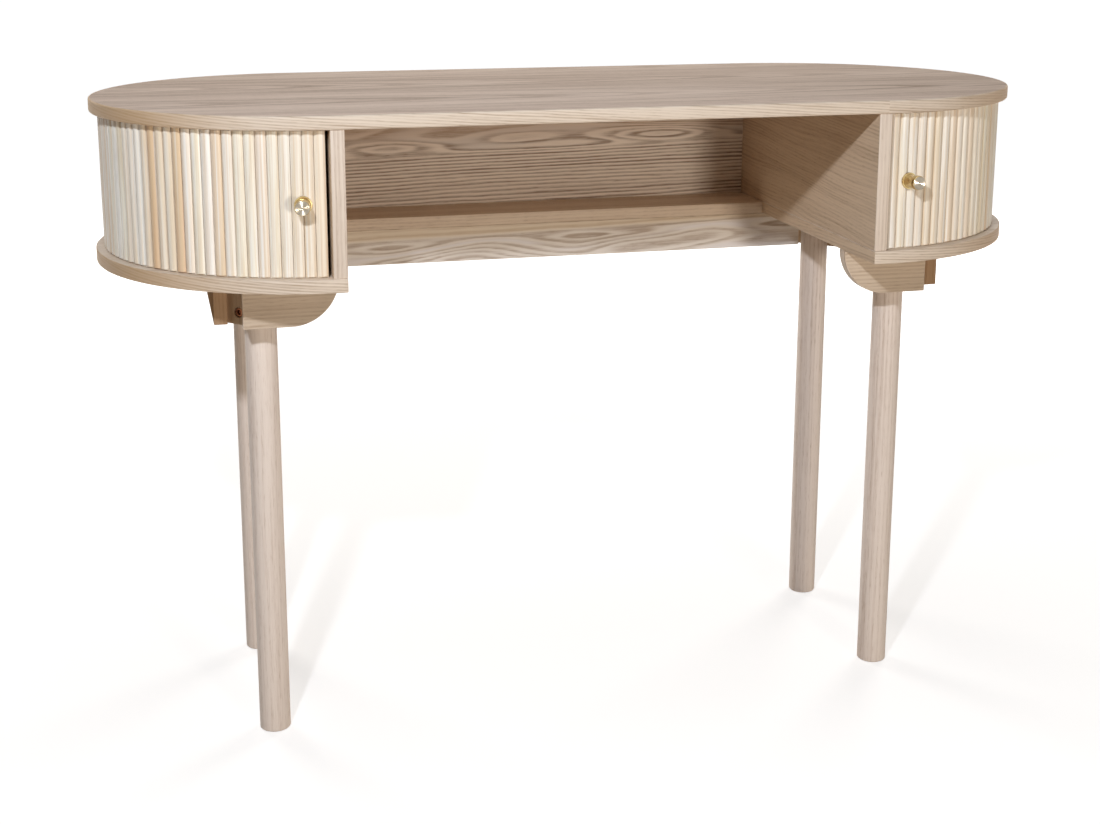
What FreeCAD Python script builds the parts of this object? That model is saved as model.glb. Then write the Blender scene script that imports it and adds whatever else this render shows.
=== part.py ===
import FreeCAD, Part
import math
import os

# A desk with a round-ended top, two half-round pods closed by tambour doors, and four bolted legs.
# Millimetres. +X runs along the desk to the right, +Y to the back and +Z up from the floor.
# The origin lies on the floor under the middle of the top. Angles are in degrees.

# Overall size
LENGTH = 1120.0
DEPTH = 500.0
HEIGHT = 740.0

# Boards
TOP_THICKNESS = 15.0
PANEL_THICKNESS = 15.0
RAIL_THICKNESS = 15.0
TOP_EDGE_ROUND = 2.0
PANEL_EDGE_CHAMFER = 0.8

# Pods and centre bay
DIVIDER_INSET = 10.0        # inner face of a divider, inside the centre of the round end
POD_HEIGHT = 157.0          # clear height inside a pod
DIVIDER_SETBACK = 1.0       # divider edges behind the outline of the top
BACK_SETBACK = 57.0         # back panel in from the rear edge of the top
SHELF_DEPTH = 96.0

# Tambour door: slats glued to canvas, running by tongues in curved grooves
SLAT_INSET = 9.8            # slat crowns behind the outline of the top
SLAT_THICKNESS = 8.0
SLAT_CROWN = 3.0            # height of the rounded face
SLAT_PITCH = 12.34          # along the crowns
SLAT_GAP = 0.4
SLAT_END_CLEARANCE = 1.5
TONGUE_THICKNESS = 4.0
TONGUE_SETBACK = 0.5        # tongue behind the foot of the crown
GROOVE_DEPTH = 6.0
GROOVE_SIDE_CLEARANCE = 0.4
GROOVE_FLOOR_CLEARANCE = 0.3
GROOVE_STOP_CLEARANCE = 0.5
DOOR_SWEEP = 106.0          # arc that a door covers
DOOR_GAP = 4.0              # lead slat to divider, door shut
DOOR_REAR_GAP = 2.0         # last slat to divider, door open
CANVAS_THICKNESS = 0.8
CANVAS_MARGIN = 6.0         # canvas short of the slat ends
GLUE_LINE = 0.05

# Bent shell that closes the rear of a pod, outside the sliding slats
SHELL_THICKNESS = 4.0
SHELL_CLEARANCE = 2.2       # slat crowns to shell
SHELL_OVERLAP = 7.0         # degrees over the shut door
SHELL_GROOVE_DEPTH = 3.0
SHELL_FIT = 0.2

# Knob on the joint of two slats, held from inside by a screw and a washer
KNOB_JOINT = 2              # slats between the lead edge and the knob
KNOB_LENGTH = 22.0
KNOB_BASE_DIAMETER = 19.0
KNOB_BASE_THICKNESS = 2.5
KNOB_FOOT_DIAMETER = 16.4
KNOB_WAIST_DIAMETER = 14.4
KNOB_HEAD_DIAMETER = 16.5
KNOB_HEAD_THICKNESS = 6.0
KNOB_FLARE = 7.0            # waist to head, along the knob
KNOB_CHAMFER = 1.0
KNOB_SCREW_DIAMETER = 4.0
KNOB_SCREW_HOLE = 4.6
KNOB_SCREW_DEPTH = 9.0      # screw inside the knob
KNOB_SCREW_HEAD_DIAMETER = 8.0
KNOB_SCREW_HEAD_HEIGHT = 3.0
KNOB_WASHER_DIAMETER = 14.0
KNOB_WASHER_THICKNESS = 1.0

# Frame under each pod
RAIL_HEIGHT = 54.0
BRACKET_LENGTH = 106.0
BRACKET_SETBACK = 82.0      # front bracket behind the front edge of the top
SIDE_RAIL_GAP = 15.0        # bracket end to side rail, along the desk
SIDE_RAIL_END_GAP = 14.0    # bracket back to side rail end, across the desk
STRETCHER_HEIGHT = 45.0
STRETCHER_END_GAP = 12.8    # stretcher end to rear leg
CORNER_CUT = 23.5           # outer face of the corner block, from the corner along each board
CORNER_BLOCK_THICKNESS = 18.0

# Legs and their bolts
LEG_DIAMETER = 36.0
LEG_FOOT_CHAMFER = 1.5
LEG_SEAT_CLEARANCE = 0.1
BOLT_SPACING = 27.0
BOLT_DIAMETER = 6.0
BOLT_HOLE = 6.6
BOLT_HEAD_DIAMETER = 10.0
BOLT_HEAD_HEIGHT = 6.0
BOLT_RECESS_DIAMETER = 12.0
BOLT_RECESS_DEPTH = 7.0
BOLT_SOCKET = 5.0           # across the flats
BOLT_SOCKET_DEPTH = 3.5
BOLT_LEG_DEPTH = 16.0
INSERT_DIAMETER = 10.0
INSERT_LENGTH = 15.0
INSERT_SETBACK = 1.0        # insert below the face of the leg
THREAD_CLEARANCE = 0.05

# Dowels
DOWEL_DIAMETER = 8.0
DOWEL_FIT = 0.1
DOWEL_FACE_DEPTH = 9.0      # in the face of a board
DOWEL_EDGE_DEPTH = 21.0     # in the edge of a board
DOWEL_BUTT_DEPTH = 15.0     # in each of two butted edges
HOLE_SPARE = 0.8            # holes deeper than what goes into them
DIVIDER_DOWEL_MARGIN = 70.0  # from the front and rear edges of the top
SHELF_DOWEL_MARGIN = 28.0   # from the long edges of the shelf
BACK_DOWEL_MARGIN = 28.5    # from the upper and lower edges of the back panel
BRACKET_INNER_MARGIN = 32.0  # from the end of a bracket nearer the middle
BRACKET_OUTER_MARGIN = 16.0
SIDE_RAIL_DOWEL_MARGIN = 39.0
STRETCHER_BAY_MARGIN = 120.0  # from the inner face of a divider, into the bay
STRETCHER_POD_MARGIN = 26.0  # from the inner face of a divider, under the pod

Vector = FreeCAD.Vector
UP = Vector(0, 0, 1)
ALONG = Vector(1, 0, 0)
ACROSS = Vector(0, 1, 0)
ROOT_TWO = math.sqrt(2.0)
HALF_TURN = 180.0
FULL_TURN = 360.0

# Levels
top_under = HEIGHT - TOP_THICKNESS
pod_floor = top_under - POD_HEIGHT
pod_under = pod_floor - PANEL_THICKNESS
rail_foot = pod_under - RAIL_HEIGHT
stretcher_foot = pod_under - STRETCHER_HEIGHT
pod_middle = pod_floor + POD_HEIGHT / 2
rail_middle = pod_under - RAIL_HEIGHT / 2

# Plan
end_radius = DEPTH / 2
arc_x = LENGTH / 2 - end_radius
divider_inner = arc_x - DIVIDER_INSET
divider_outer = divider_inner + PANEL_THICKNESS
divider_middle = divider_inner + PANEL_THICKNESS / 2
back_rear = end_radius - BACK_SETBACK
back_front = back_rear - PANEL_THICKNESS
shelf_front = back_rear - SHELF_DEPTH
bracket_face = end_radius - BRACKET_SETBACK
corner_y = bracket_face - RAIL_THICKNESS
bracket_end = divider_inner + BRACKET_LENGTH
corner_x = bracket_end + SIDE_RAIL_GAP
leg_radius = LEG_DIAMETER / 2
block_face = leg_radius + LEG_SEAT_CLEARANCE
leg_offset = (CORNER_CUT + (CORNER_BLOCK_THICKNESS + block_face) * ROOT_TWO) / 2
leg_x = corner_x - leg_offset
leg_y = corner_y - leg_offset
stretcher_end = leg_x - leg_radius - STRETCHER_END_GAP

# Tambour radii and angles about the arc centre; angles run from the front round to the rear
crown_radius = end_radius - SLAT_INSET
shoulder_radius = crown_radius - SLAT_CROWN
slat_back = crown_radius - SLAT_THICKNESS
tongue_outer = shoulder_radius - TONGUE_SETBACK
tongue_inner = tongue_outer - TONGUE_THICKNESS
shell_inner = crown_radius + SHELL_CLEARANCE
shell_outer = shell_inner + SHELL_THICKNESS
slat_count = round(math.radians(DOOR_SWEEP) * crown_radius / SLAT_PITCH)
slat_angle = DOOR_SWEEP / slat_count
slat_half = slat_angle / 2 - math.degrees(SLAT_GAP / shoulder_radius) / 2
canvas_outer = slat_back * math.cos(math.radians(slat_half)) - GLUE_LINE
canvas_inner = canvas_outer - CANVAS_THICKNESS


def angle_clear_of_divider(radius, gap):
    """Angle at which a point on this radius stands this far outside the divider."""
    return math.degrees(math.asin((divider_outer - arc_x + gap) / radius))


door_start = angle_clear_of_divider(crown_radius, DOOR_GAP)
door_end = door_start + DOOR_SWEEP
door_travel = HALF_TURN - angle_clear_of_divider(slat_back, DOOR_REAR_GAP) - door_end
stop_angle = math.degrees(GROOVE_STOP_CLEARANCE / tongue_inner)
shell_start = door_end - SHELL_OVERLAP
shell_end = HALF_TURN - angle_clear_of_divider(shell_inner, 0.0)
knob_angle = door_start + KNOB_JOINT * slat_angle
knob_seat = crown_radius * math.cos(math.radians(slat_angle / 2)) + GLUE_LINE
washer_seat = math.sqrt(canvas_inner ** 2 - (KNOB_WASHER_DIAMETER / 2) ** 2) - GLUE_LINE
screw_seat = washer_seat - KNOB_WASHER_THICKNESS


def box(low, high):
    size = Vector(*high) - Vector(*low)
    return Part.makeBox(size.x, size.y, size.z, Vector(*low))


def rod(diameter, start, direction, length):
    return Part.makeCylinder(diameter / 2, length, start, direction)


def mirror_left(shape):
    return shape.mirror(Vector(0, 0, 0), ALONG)


def mirror_rear(shape):
    return shape.mirror(Vector(0, 0, 0), ACROSS)


def turn(shape, angle):
    """Carry a shape made at the front of the right pod round the pod's arc."""
    turned = shape.copy()
    turned.rotate(Vector(arc_x, 0, 0), UP, angle)
    return turned


def on_arc(radius, angle, z):
    bearing = math.radians(angle)
    return Vector(arc_x + radius * math.sin(bearing), -radius * math.cos(bearing), z)


def ring_sector(inner, outer, start, end, z, height):
    middle = (start + end) / 2
    outside = Part.Arc(on_arc(outer, start, z), on_arc(outer, middle, z), on_arc(outer, end, z))
    inside = Part.Arc(on_arc(inner, end, z), on_arc(inner, middle, z), on_arc(inner, start, z))
    rear = Part.makeLine(on_arc(outer, end, z), on_arc(inner, end, z))
    front = Part.makeLine(on_arc(inner, start, z), on_arc(outer, start, z))
    wire = Part.Wire([outside.toShape(), rear, inside.toShape(), front])
    return Part.Face(wire).extrude(UP * height)


def round_ended_slab(radius, z, height):
    """Slab with straight sides and half-round ends about the two arc centres."""
    right_front = Vector(arc_x, -radius, z)
    right_rear = Vector(arc_x, radius, z)
    left_rear = Vector(-arc_x, radius, z)
    left_front = Vector(-arc_x, -radius, z)
    right_end = Part.Arc(right_front, Vector(arc_x + radius, 0, z), right_rear)
    left_end = Part.Arc(left_rear, Vector(-arc_x - radius, 0, z), left_front)
    rear = Part.makeLine(right_rear, left_rear)
    front = Part.makeLine(left_front, right_front)
    wire = Part.Wire([right_end.toShape(), rear, left_end.toShape(), front])
    return Part.Face(wire).extrude(UP * height)


def level_edges(shape):
    """Edges that run level, along the upper and lower faces of a board."""
    return [edge for edge in shape.Edges if edge.BoundBox.ZLength < shape.BoundBox.ZLength / 2]


def upright_edges(shape):
    return [edge for edge in shape.Edges if edge.BoundBox.ZLength > shape.BoundBox.ZLength / 2]


# Dowels: each is (point on the joint face, direction, depth behind the face, depth ahead of it)


def dowel(joint):
    point, direction, behind, ahead = joint
    return rod(DOWEL_DIAMETER, point - direction * behind, direction, behind + ahead)


def dowel_hole(joint):
    point, direction, behind, ahead = joint
    start = point - direction * (behind + HOLE_SPARE)
    length = behind + ahead + 2 * HOLE_SPARE
    return rod(DOWEL_DIAMETER + 2 * DOWEL_FIT, start, direction, length)


def drilled(shape, joints):
    for joint in joints:
        shape = shape.cut(dowel_hole(joint))
    return shape


def left_joint(joint):
    point, direction, behind, ahead = joint
    flipped = Vector(-direction.x, direction.y, direction.z)
    return (Vector(-point.x, point.y, point.z), flipped, behind, ahead)


divider_joints = []
for row in (-1, 1):
    spot = row * (end_radius - DIVIDER_DOWEL_MARGIN)
    foot = Vector(divider_middle, spot, pod_floor)
    head = Vector(divider_middle, spot, top_under)
    divider_joints.append((foot, UP, DOWEL_FACE_DEPTH, DOWEL_EDGE_DEPTH))
    divider_joints.append((head, UP, DOWEL_EDGE_DEPTH, DOWEL_FACE_DEPTH))

shelf_joints = []
for spot in (shelf_front + SHELF_DOWEL_MARGIN, back_rear - SHELF_DOWEL_MARGIN):
    meeting = Vector(divider_inner, spot, pod_under + PANEL_THICKNESS / 2)
    shelf_joints.append((meeting, ALONG, DOWEL_BUTT_DEPTH, DOWEL_BUTT_DEPTH))

back_joints = []
for level in (pod_floor + BACK_DOWEL_MARGIN, top_under - BACK_DOWEL_MARGIN):
    meeting = Vector(divider_inner, (back_front + back_rear) / 2, level)
    back_joints.append((meeting, ALONG, DOWEL_EDGE_DEPTH, DOWEL_FACE_DEPTH))


def rail_joint(x, y):
    return (Vector(x, y, pod_under), UP, DOWEL_EDGE_DEPTH, DOWEL_FACE_DEPTH)


bracket_middle = (bracket_face + corner_y) / 2
bracket_spots = [divider_inner + BRACKET_INNER_MARGIN, bracket_end - BRACKET_OUTER_MARGIN]
front_bracket_joints = [rail_joint(x, -bracket_middle) for x in bracket_spots]
rear_bracket_joints = [rail_joint(x, bracket_middle) for x in bracket_spots]
side_rail_x = corner_x + RAIL_THICKNESS / 2
side_rail_reach = corner_y - SIDE_RAIL_END_GAP
side_rail_spot = side_rail_reach - SIDE_RAIL_DOWEL_MARGIN
side_rail_joints = [rail_joint(side_rail_x, row * side_rail_spot) for row in (-1, 1)]
stretcher_y = shelf_front + RAIL_THICKNESS / 2
stretcher_spot = divider_inner - STRETCHER_BAY_MARGIN
stretcher_shelf_joints = [rail_joint(row * stretcher_spot, stretcher_y) for row in (-1, 1)]
stretcher_pod_joint = rail_joint(divider_inner + STRETCHER_POD_MARGIN, stretcher_y)
pod_rail_joints = front_bracket_joints + rear_bracket_joints + side_rail_joints + [stretcher_pod_joint]


# Grooves that guide the slats and hold the shell, cut into the boards above and below a pod


def pod_grooves(slat_groove_z, shell_groove_z):
    slats = ring_sector(
        tongue_inner - GROOVE_SIDE_CLEARANCE,
        tongue_outer + GROOVE_SIDE_CLEARANCE,
        door_start - stop_angle,
        door_end + door_travel + stop_angle,
        slat_groove_z,
        GROOVE_DEPTH,
    )
    shell = ring_sector(
        shell_inner - SHELL_FIT,
        shell_outer + SHELL_FIT,
        shell_start - math.degrees(SHELL_FIT / shell_inner),
        shell_end,
        shell_groove_z,
        SHELL_GROOVE_DEPTH,
    )
    return [slats, shell]


def desk_top():
    slab = round_ended_slab(end_radius, top_under, TOP_THICKNESS)
    slab = slab.makeFillet(TOP_EDGE_ROUND, level_edges(slab))
    for groove in pod_grooves(top_under, top_under):
        slab = slab.cut(groove).cut(mirror_left(groove))
    joints = divider_joints + [left_joint(joint) for joint in divider_joints]
    return drilled(slab, joints)


def pod_bottom():
    outline = round_ended_slab(end_radius, pod_under, PANEL_THICKNESS)
    half = box((divider_inner, -DEPTH, pod_under), (LENGTH, DEPTH, pod_floor))
    slab = outline.common(half)
    slab = slab.makeChamfer(PANEL_EDGE_CHAMFER, level_edges(slab))
    for groove in pod_grooves(pod_floor - GROOVE_DEPTH, pod_floor - SHELL_GROOVE_DEPTH):
        slab = slab.cut(groove)
    return drilled(slab, divider_joints + shelf_joints + pod_rail_joints)


def divider():
    outline = round_ended_slab(end_radius - DIVIDER_SETBACK, pod_floor, POD_HEIGHT)
    board = outline.common(box((divider_inner, -DEPTH, pod_floor), (divider_outer, DEPTH, top_under)))
    board = board.makeChamfer(PANEL_EDGE_CHAMFER, upright_edges(board))
    return drilled(board, divider_joints + back_joints)


def back_panel():
    board = box((-divider_inner, back_front, pod_floor), (divider_inner, back_rear, top_under))
    return drilled(board, back_joints + [left_joint(joint) for joint in back_joints])


def shelf():
    board = box((-divider_inner, shelf_front, pod_under), (divider_inner, back_rear, pod_floor))
    joints = shelf_joints + [left_joint(joint) for joint in shelf_joints] + stretcher_shelf_joints
    return drilled(board, joints)


def stretcher_rail():
    low = (-stretcher_end, shelf_front, stretcher_foot)
    board = box(low, (stretcher_end, shelf_front + RAIL_THICKNESS, pod_under))
    joints = stretcher_shelf_joints + [stretcher_pod_joint, left_joint(stretcher_pod_joint)]
    return drilled(board, joints)


def back_shell():
    foot = pod_floor - SHELL_GROOVE_DEPTH
    height = POD_HEIGHT + 2 * SHELL_GROOVE_DEPTH
    bent = ring_sector(shell_inner, shell_outer, shell_start, shell_end, foot, height)
    return bent.common(box((divider_outer, -DEPTH, foot), (LENGTH, DEPTH, foot + height)))


# Tambour door of the right pod


def knob_screw_way():
    """Hole through slats and canvas for the knob screw, at the front of the arc."""
    start = Vector(arc_x, -crown_radius, pod_middle)
    return turn(rod(KNOB_SCREW_HOLE, start, ACROSS, crown_radius - screw_seat), knob_angle)


def slat():
    """One slat at the front of the arc: crowned face, tapered sides and a tongue at each end."""
    foot = pod_floor + SLAT_END_CLEARANCE
    height = POD_HEIGHT - 2 * SLAT_END_CLEARANCE
    back_left = on_arc(slat_back, -slat_half, foot)
    back_right = on_arc(slat_back, slat_half, foot)
    face_left = on_arc(shoulder_radius, -slat_half, foot)
    face_right = on_arc(shoulder_radius, slat_half, foot)
    crown = Part.Arc(face_left, on_arc(crown_radius, 0, foot), face_right)
    sides = [
        crown.toShape(),
        Part.makeLine(face_right, back_right),
        Part.makeLine(back_right, back_left),
        Part.makeLine(back_left, face_left),
    ]
    body = Part.Face(Part.Wire(sides)).extrude(UP * height)
    tongue_foot = pod_floor - GROOVE_DEPTH + GROOVE_FLOOR_CLEARANCE
    tongue_height = POD_HEIGHT + 2 * (GROOVE_DEPTH - GROOVE_FLOOR_CLEARANCE)
    corners = [
        on_arc(tongue_outer, -slat_half, tongue_foot),
        on_arc(tongue_outer, slat_half, tongue_foot),
        on_arc(tongue_inner, slat_half, tongue_foot),
        on_arc(tongue_inner, -slat_half, tongue_foot),
    ]
    tongues = Part.Face(Part.makePolygon(corners + corners[:1])).extrude(UP * tongue_height)
    return body.fuse(tongues).removeSplitter()


def tambour_slats():
    pattern = slat()
    slats = []
    for number in range(slat_count):
        piece = turn(pattern, door_start + (number + 0.5) * slat_angle)
        if number in (KNOB_JOINT - 1, KNOB_JOINT):
            piece = piece.cut(knob_screw_way())
        slats.append(piece)
    return Part.makeCompound(slats)


def canvas():
    margin = SLAT_END_CLEARANCE + CANVAS_MARGIN
    height = POD_HEIGHT - 2 * margin
    sheet = ring_sector(canvas_inner, canvas_outer, door_start, door_end, pod_floor + margin, height)
    return sheet.cut(knob_screw_way())


def knob():
    waist_end = KNOB_LENGTH - KNOB_HEAD_THICKNESS
    waist_start = waist_end - KNOB_FLARE
    profile = [
        (0.0, 0.0),
        (KNOB_BASE_DIAMETER / 2, 0.0),
        (KNOB_BASE_DIAMETER / 2, KNOB_BASE_THICKNESS),
        (KNOB_FOOT_DIAMETER / 2, KNOB_BASE_THICKNESS),
        (KNOB_WAIST_DIAMETER / 2, waist_start),
        (KNOB_HEAD_DIAMETER / 2, waist_end),
        (KNOB_HEAD_DIAMETER / 2, KNOB_LENGTH - KNOB_CHAMFER),
        (KNOB_HEAD_DIAMETER / 2 - KNOB_CHAMFER, KNOB_LENGTH),
        (0.0, KNOB_LENGTH),
    ]
    outline = [Vector(arc_x + radius, -knob_seat - reach, pod_middle) for radius, reach in profile]
    face = Part.Face(Part.makePolygon(outline + outline[:1]))
    turned = face.revolve(Vector(arc_x, 0, pod_middle), ACROSS, FULL_TURN)
    thread = KNOB_SCREW_DIAMETER + 2 * THREAD_CLEARANCE
    start = Vector(arc_x, -knob_seat, pod_middle)
    bored = turned.cut(rod(thread, start, -ACROSS, KNOB_SCREW_DEPTH + HOLE_SPARE))
    return turn(bored, knob_angle)


def knob_washer():
    start = Vector(arc_x, -washer_seat, pod_middle)
    disc = rod(KNOB_WASHER_DIAMETER, start, ACROSS, KNOB_WASHER_THICKNESS)
    return turn(disc.cut(rod(KNOB_SCREW_HOLE, start, ACROSS, KNOB_WASHER_THICKNESS)), knob_angle)


def knob_screw():
    seat = Vector(arc_x, -screw_seat, pod_middle)
    head = rod(KNOB_SCREW_HEAD_DIAMETER, seat, ACROSS, KNOB_SCREW_HEAD_HEIGHT)
    shank = rod(KNOB_SCREW_DIAMETER, seat, -ACROSS, knob_seat + KNOB_SCREW_DEPTH - screw_seat)
    return turn(head.fuse(shank), knob_angle)


# Frame and leg of the front right corner


def bracket():
    """Board on edge with a quarter-round lower inner corner as tall as the board."""
    y = -bracket_face
    inner_top = Vector(divider_inner, y, pod_under)
    outer_top = Vector(bracket_end, y, pod_under)
    outer_foot = Vector(bracket_end, y, rail_foot)
    round_foot = Vector(divider_inner + RAIL_HEIGHT, y, rail_foot)
    bulge = RAIL_HEIGHT * (1 - 1 / ROOT_TWO)
    round_middle = Vector(divider_inner + bulge, y, rail_foot + bulge)
    sides = [
        Part.makeLine(inner_top, outer_top),
        Part.makeLine(outer_top, outer_foot),
        Part.makeLine(outer_foot, round_foot),
        Part.Arc(round_foot, round_middle, inner_top).toShape(),
    ]
    board = Part.Face(Part.Wire(sides)).extrude(ACROSS * RAIL_THICKNESS)
    return drilled(board, front_bracket_joints)


def side_rail():
    low = (corner_x, -side_rail_reach, rail_foot)
    board = box(low, (corner_x + RAIL_THICKNESS, side_rail_reach, pod_under))
    return drilled(board, side_rail_joints)


outward = Vector(1 / ROOT_TWO, -1 / ROOT_TWO, 0)
bolt_levels = [rail_middle + row * BOLT_SPACING for row in (-0.5, 0.5)]
block_outer_face = block_face + CORNER_BLOCK_THICKNESS
bolt_seat = block_outer_face - BOLT_RECESS_DEPTH


def from_leg(distance, level):
    """Point on a bolt's axis, this far from the middle of the front right leg."""
    return Vector(leg_x, -leg_y, level) + outward * distance


def corner_block():
    inner_cut = CORNER_CUT + CORNER_BLOCK_THICKNESS * ROOT_TWO
    corners = [
        Vector(corner_x, CORNER_CUT - corner_y, rail_foot),
        Vector(corner_x, inner_cut - corner_y, rail_foot),
        Vector(corner_x - inner_cut, -corner_y, rail_foot),
        Vector(corner_x - CORNER_CUT, -corner_y, rail_foot),
    ]
    block = Part.Face(Part.makePolygon(corners + corners[:1])).extrude(UP * RAIL_HEIGHT)
    for level in bolt_levels:
        block = block.cut(rod(BOLT_HOLE, from_leg(0, level), outward, 2 * block_outer_face))
        block = block.cut(rod(BOLT_RECESS_DIAMETER, from_leg(bolt_seat, level), outward, block_outer_face))
    return block


def leg():
    post = rod(LEG_DIAMETER, Vector(leg_x, -leg_y, 0), UP, pod_under)
    foot = [edge for edge in post.Edges if edge.BoundBox.ZMax < LEG_FOOT_CHAMFER]
    post = post.makeChamfer(LEG_FOOT_CHAMFER, foot)
    socket_end = leg_radius - INSERT_SETBACK - INSERT_LENGTH
    for level in bolt_levels:
        hole = INSERT_DIAMETER + 2 * THREAD_CLEARANCE
        post = post.cut(rod(hole, from_leg(socket_end, level), outward, leg_radius))
        post = post.cut(rod(BOLT_HOLE, from_leg(leg_radius - BOLT_LEG_DEPTH, level), outward, leg_radius))
    return post


def leg_bolt(level):
    end = leg_radius - BOLT_LEG_DEPTH + HOLE_SPARE
    shank = rod(BOLT_DIAMETER, from_leg(end, level), outward, bolt_seat - end)
    head = rod(BOLT_HEAD_DIAMETER, from_leg(bolt_seat, level), outward, BOLT_HEAD_HEIGHT)
    socket = from_leg(bolt_seat + BOLT_HEAD_HEIGHT - BOLT_SOCKET_DEPTH, level)
    sideways = outward.cross(UP)
    corner_radius = BOLT_SOCKET / math.sqrt(3.0)
    corners = []
    for number in range(6):
        bearing = math.radians(60 * number)
        corners.append(socket + (sideways * math.cos(bearing) + UP * math.sin(bearing)) * corner_radius)
    key_way = Part.Face(Part.makePolygon(corners + corners[:1])).extrude(outward * BOLT_SOCKET_DEPTH)
    return head.fuse(shank).cut(key_way)


def leg_insert(level):
    start = from_leg(leg_radius - INSERT_SETBACK - INSERT_LENGTH, level)
    sleeve = rod(INSERT_DIAMETER, start, outward, INSERT_LENGTH)
    return sleeve.cut(rod(BOLT_DIAMETER + 2 * THREAD_CLEARANCE, start, outward, INSERT_LENGTH))


def at_all_corners(shapes):
    """The same pieces at the four corners of the frame."""
    right = shapes + [mirror_rear(shape) for shape in shapes]
    return right + [mirror_left(shape) for shape in right]


def on_both_sides(joints):
    right = [dowel(joint) for joint in joints]
    return right + [mirror_left(piece) for piece in right]


nodes = {
    "desk_top": desk_top(),
    "back_panel": back_panel(),
    "shelf": shelf(),
    "stretcher_rail": stretcher_rail(),
    "leg_bolts": Part.makeCompound(at_all_corners([leg_bolt(level) for level in bolt_levels])),
    "leg_inserts": Part.makeCompound(at_all_corners([leg_insert(level) for level in bolt_levels])),
    "divider_dowels": Part.makeCompound(on_both_sides(divider_joints)),
    "shelf_dowels": Part.makeCompound(on_both_sides(shelf_joints)),
    "back_panel_dowels": Part.makeCompound(on_both_sides(back_joints)),
    "rail_dowels": Part.makeCompound(
        on_both_sides(pod_rail_joints) + [dowel(joint) for joint in stretcher_shelf_joints]
    ),
}

pod_pieces = {
    "pod_bottom": pod_bottom(),
    "divider": divider(),
    "back_shell": back_shell(),
    "side_rail": side_rail(),
    "tambour_slats": tambour_slats(),
    "canvas": canvas(),
    "knob": knob(),
    "knob_washer": knob_washer(),
    "knob_screw": knob_screw(),
}
for name, shape in pod_pieces.items():
    nodes["right_" + name] = shape
    nodes["left_" + name] = mirror_left(shape)

corner_pieces = {
    "leg": leg(),
    "bracket": bracket(),
    "corner_block": corner_block(),
}
for name, shape in corner_pieces.items():
    nodes["front_right_" + name] = shape
    nodes["front_left_" + name] = mirror_left(shape)
    nodes["rear_right_" + name] = mirror_rear(shape)
    nodes["rear_left_" + name] = mirror_left(mirror_rear(shape))

os.makedirs("parts", exist_ok=True)
for name, shape in nodes.items():
    shape.exportStep("parts/" + name + ".step")

print("slats in a door", slat_count)
print("door starts at", round(door_start, 2), "and travels", round(door_travel, 2), "degrees")
print("arc centres at x", arc_x, "and legs at", round(leg_x, 2), round(leg_y, 2))
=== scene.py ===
import math

import bpy
from mathutils import Matrix, Vector


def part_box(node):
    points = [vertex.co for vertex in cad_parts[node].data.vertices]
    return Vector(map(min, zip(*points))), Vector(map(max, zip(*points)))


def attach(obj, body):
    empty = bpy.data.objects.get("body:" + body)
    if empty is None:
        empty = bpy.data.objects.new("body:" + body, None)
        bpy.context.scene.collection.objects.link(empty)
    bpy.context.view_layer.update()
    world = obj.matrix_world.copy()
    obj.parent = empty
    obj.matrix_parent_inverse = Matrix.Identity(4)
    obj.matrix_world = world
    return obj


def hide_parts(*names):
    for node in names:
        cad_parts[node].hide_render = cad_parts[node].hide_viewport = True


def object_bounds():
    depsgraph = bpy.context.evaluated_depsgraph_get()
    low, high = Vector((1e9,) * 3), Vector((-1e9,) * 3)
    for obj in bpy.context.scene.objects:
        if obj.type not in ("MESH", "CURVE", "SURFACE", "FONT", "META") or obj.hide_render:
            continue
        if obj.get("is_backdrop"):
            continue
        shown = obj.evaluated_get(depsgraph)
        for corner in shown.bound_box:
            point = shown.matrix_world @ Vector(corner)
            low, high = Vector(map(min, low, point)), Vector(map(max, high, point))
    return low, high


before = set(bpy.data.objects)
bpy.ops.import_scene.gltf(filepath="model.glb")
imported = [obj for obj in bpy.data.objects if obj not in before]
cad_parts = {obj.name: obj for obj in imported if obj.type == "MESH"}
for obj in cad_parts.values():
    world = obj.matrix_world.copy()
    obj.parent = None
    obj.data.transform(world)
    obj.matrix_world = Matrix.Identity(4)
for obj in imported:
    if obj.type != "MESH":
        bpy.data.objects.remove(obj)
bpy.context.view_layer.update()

# Legs: four straight round posts of pale solid oak, turned, with the edge of the foot rounded over.
# Two bolts through a corner block pull each leg into the corner of its frame.
LEG_SEGMENTS = 72
FOOT_ROUND = 0.0024
FOOT_STEPS = 6
SHARP_EDGE = math.radians(32)


def colour(red, green, blue):
    """A finish's colour as it is seen, 0 to 255, as the shader takes it."""
    linear = []
    for part in (red, green, blue):
        seen = part / 255
        linear.append(seen / 12.92 if seen <= 0.04045 else ((seen + 0.055) / 1.055) ** 2.4)
    return (*linear, 1.0)


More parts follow.
